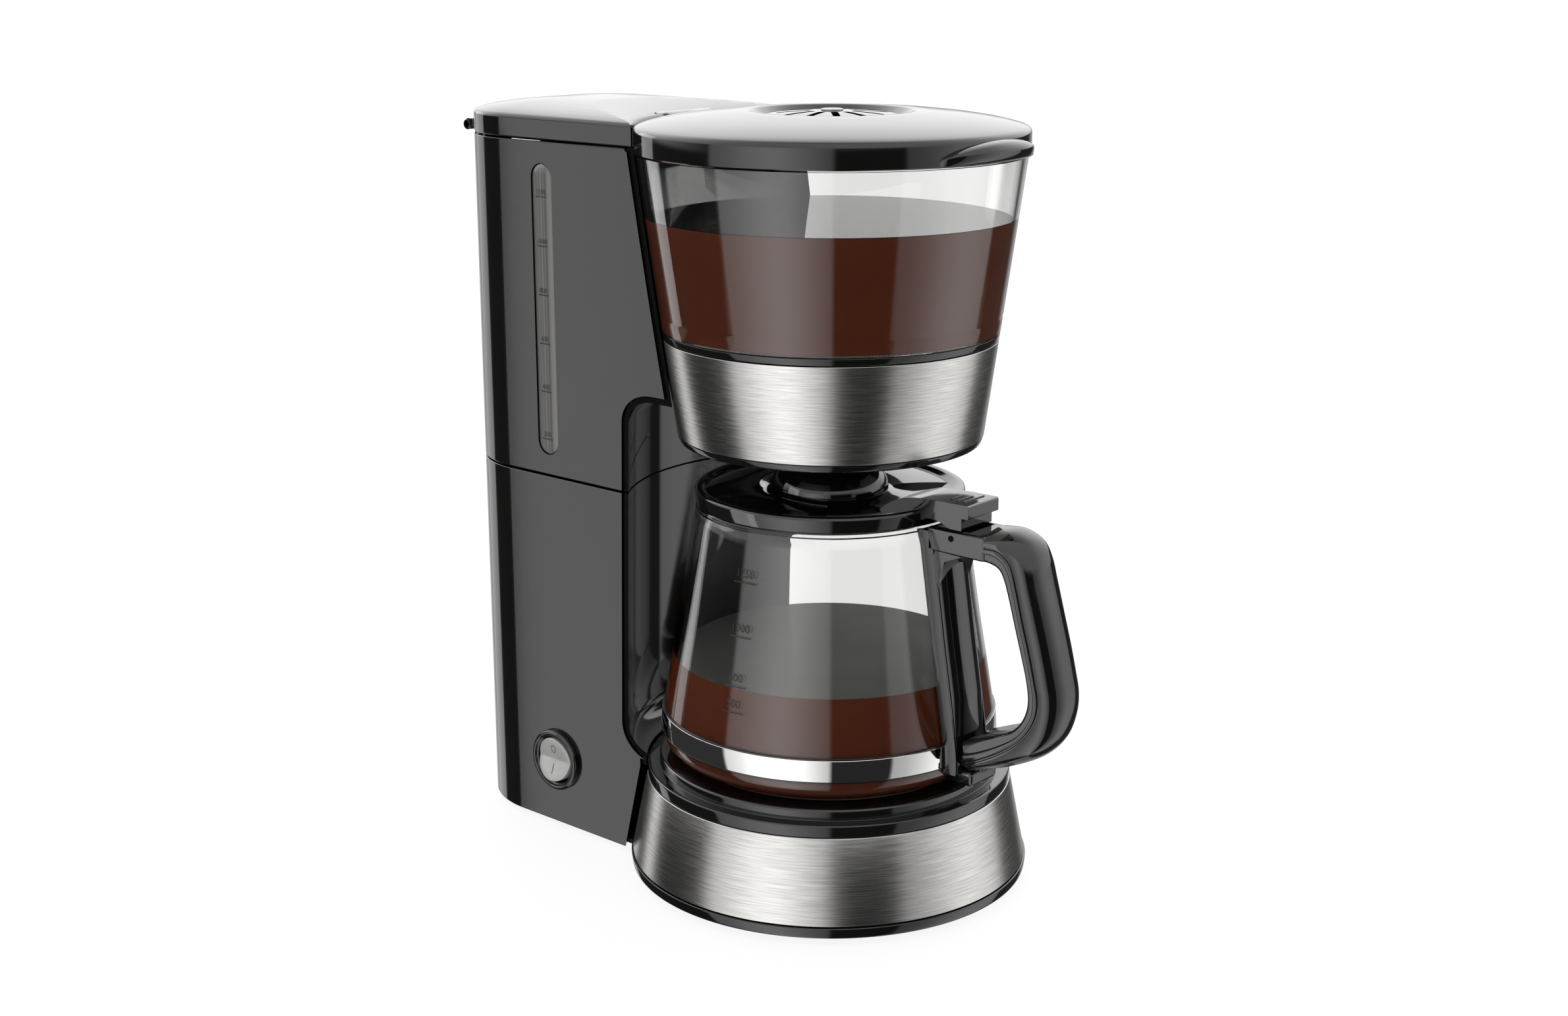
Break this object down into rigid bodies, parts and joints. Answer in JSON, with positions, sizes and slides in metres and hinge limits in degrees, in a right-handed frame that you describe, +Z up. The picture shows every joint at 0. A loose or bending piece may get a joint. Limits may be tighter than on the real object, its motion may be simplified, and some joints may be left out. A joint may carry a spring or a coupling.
{
  "type": "drip coffee maker",
  "caption": "Drip coffee maker: water-tank tower, conical brew head with glass funnel, hot-plate base and a lidded glass carafe with a loop handle.",
  "frame": {"origin": "on the ground, under the centre of the machine's bounding box", "axes": "+Z up, -Y to the front where the carafe handle points, -X the side with the switch and the level window"},
  "size_m": [0.1674, 0.306, 0.3164],
  "materials": {
    "body_gloss": "gloss",
    "inner_plastic": "matte",
    "steel_band": "brushed round the band",
    "chrome_band": "mirror",
    "plate_coat": "satin non-stick coating",
    "aluminium": "satin",
    "clear_glass": "clear",
    "gauge_clear": "frosted smoke",
    "switch_silver": "satin silver",
    "pin_steel": "satin",
    "rubber": "matte",
    "silicone": "matte",
    "filter_mesh": "fine nylon mesh on a moulded frame"
  },
  "bodies": {
    "root": {"lower_housing": "body_gloss", "bay_wall": "body_gloss", "upper_housing": "body_gloss", "gauge_window": "gauge_clear", "gauge_seal": "silicone", "tank_lid_pin": "pin_steel", "brew_lid_pin": "pin_steel", "base_housing": "inner_plastic", "base_top_ring": "body_gloss", "base_steel_band": "steel_band", "base_foot_ring": "body_gloss", "bottom_cover": "inner_plastic", "foot_1": "rubber", "foot_2": "rubber", "foot_3": "rubber", "foot_4": "rubber", "bottom_screw_1": "pin_steel", "bottom_screw_2": "pin_steel", "bottom_screw_3": "pin_steel", "bottom_screw_4": "pin_steel", "bottom_screw_5": "pin_steel", "hot_plate": "plate_coat", "hot_plate_seal": "silicone", "heater_tube": "aluminium", "heater_clamp": "pin_steel", "thermostat": "inner_plastic", "thermal_fuse_1": "silicone", "thermal_fuse_2": "silicone", "tank_outlet": "inner_plastic", "cold_hose": "silicone", "riser_hose": "silicone", "riser_pipe": "inner_plastic", "shower_head": "inner_plastic", "head_frame": "body_gloss", "head_screw_1": "pin_steel", "head_screw_2": "pin_steel", "head_lower_ring": "body_gloss", "head_steel_band": "steel_band", "funnel_trim": "body_gloss", "funnel_glass": "clear_glass", "drip_spring": "pin_steel", "switch_bezel": "body_gloss", "switch_body": "inner_plastic", "cord_gland": "rubber"},
    "brew_lid": {"brew_lid": "body_gloss", "vent_grille": "body_gloss"},
    "tank_lid": {"tank_lid": "body_gloss"},
    "switch": {"switch_rocker": "switch_silver"},
    "drip_valve": {"drip_plunger": "inner_plastic", "drip_seal": "silicone"},
    "filter": {"filter_basket": "filter_mesh", "filter_grip": "inner_plastic"},
    "carafe": {"carafe_glass": "clear_glass", "carafe_band": "chrome_band", "handle_frame": "body_gloss", "handle_grip": "body_gloss", "carafe_lid_pin": "pin_steel"},
    "carafe_lid": {"carafe_lid": "body_gloss"}
  },
  "joints": [
    {"name": "brew_lid_hinge", "type": "hinge", "parent": "root", "child": "brew_lid", "pos_m": [0, 0.0502, 0.3108], "axis": [-1, 0, 0], "range_deg": [0, 80]},
    {"name": "tank_lid_hinge", "type": "hinge", "parent": "root", "child": "tank_lid", "pos_m": [0, 0.1504, 0.3026], "axis": [-1, 0, 0], "range_deg": [0, 85]},
    {"name": "switch_rock", "type": "hinge", "parent": "root", "child": "switch", "pos_m": [-0.0486, 0.0811, 0.0322], "axis": [0, -1, 0], "range_deg": [0, 12]},
    {"name": "drip_valve_lift", "type": "slide", "parent": "root", "child": "drip_valve", "axis": [0, 0, 1], "range_m": [0, 0.003], "stiffness_N_per_m": 200, "springref_m": -0.002, "deforming": ["drip_spring"]},
    {"name": "filter_lift", "type": "slide", "parent": "root", "child": "filter", "axis": [0, 0, 1], "range_m": [0, 0.06]},
    {"name": "carafe_slide", "type": "slide", "parent": "root", "child": "carafe", "axis": [0, -1, 0], "range_m": [0, 0.2]},
    {"name": "carafe_lid_hinge", "type": "hinge", "parent": "carafe", "child": "carafe_lid", "pos_m": [0, -0.1002, 0.1572], "axis": [1, 0, 0], "range_deg": [0, 2.2]}
  ]
}
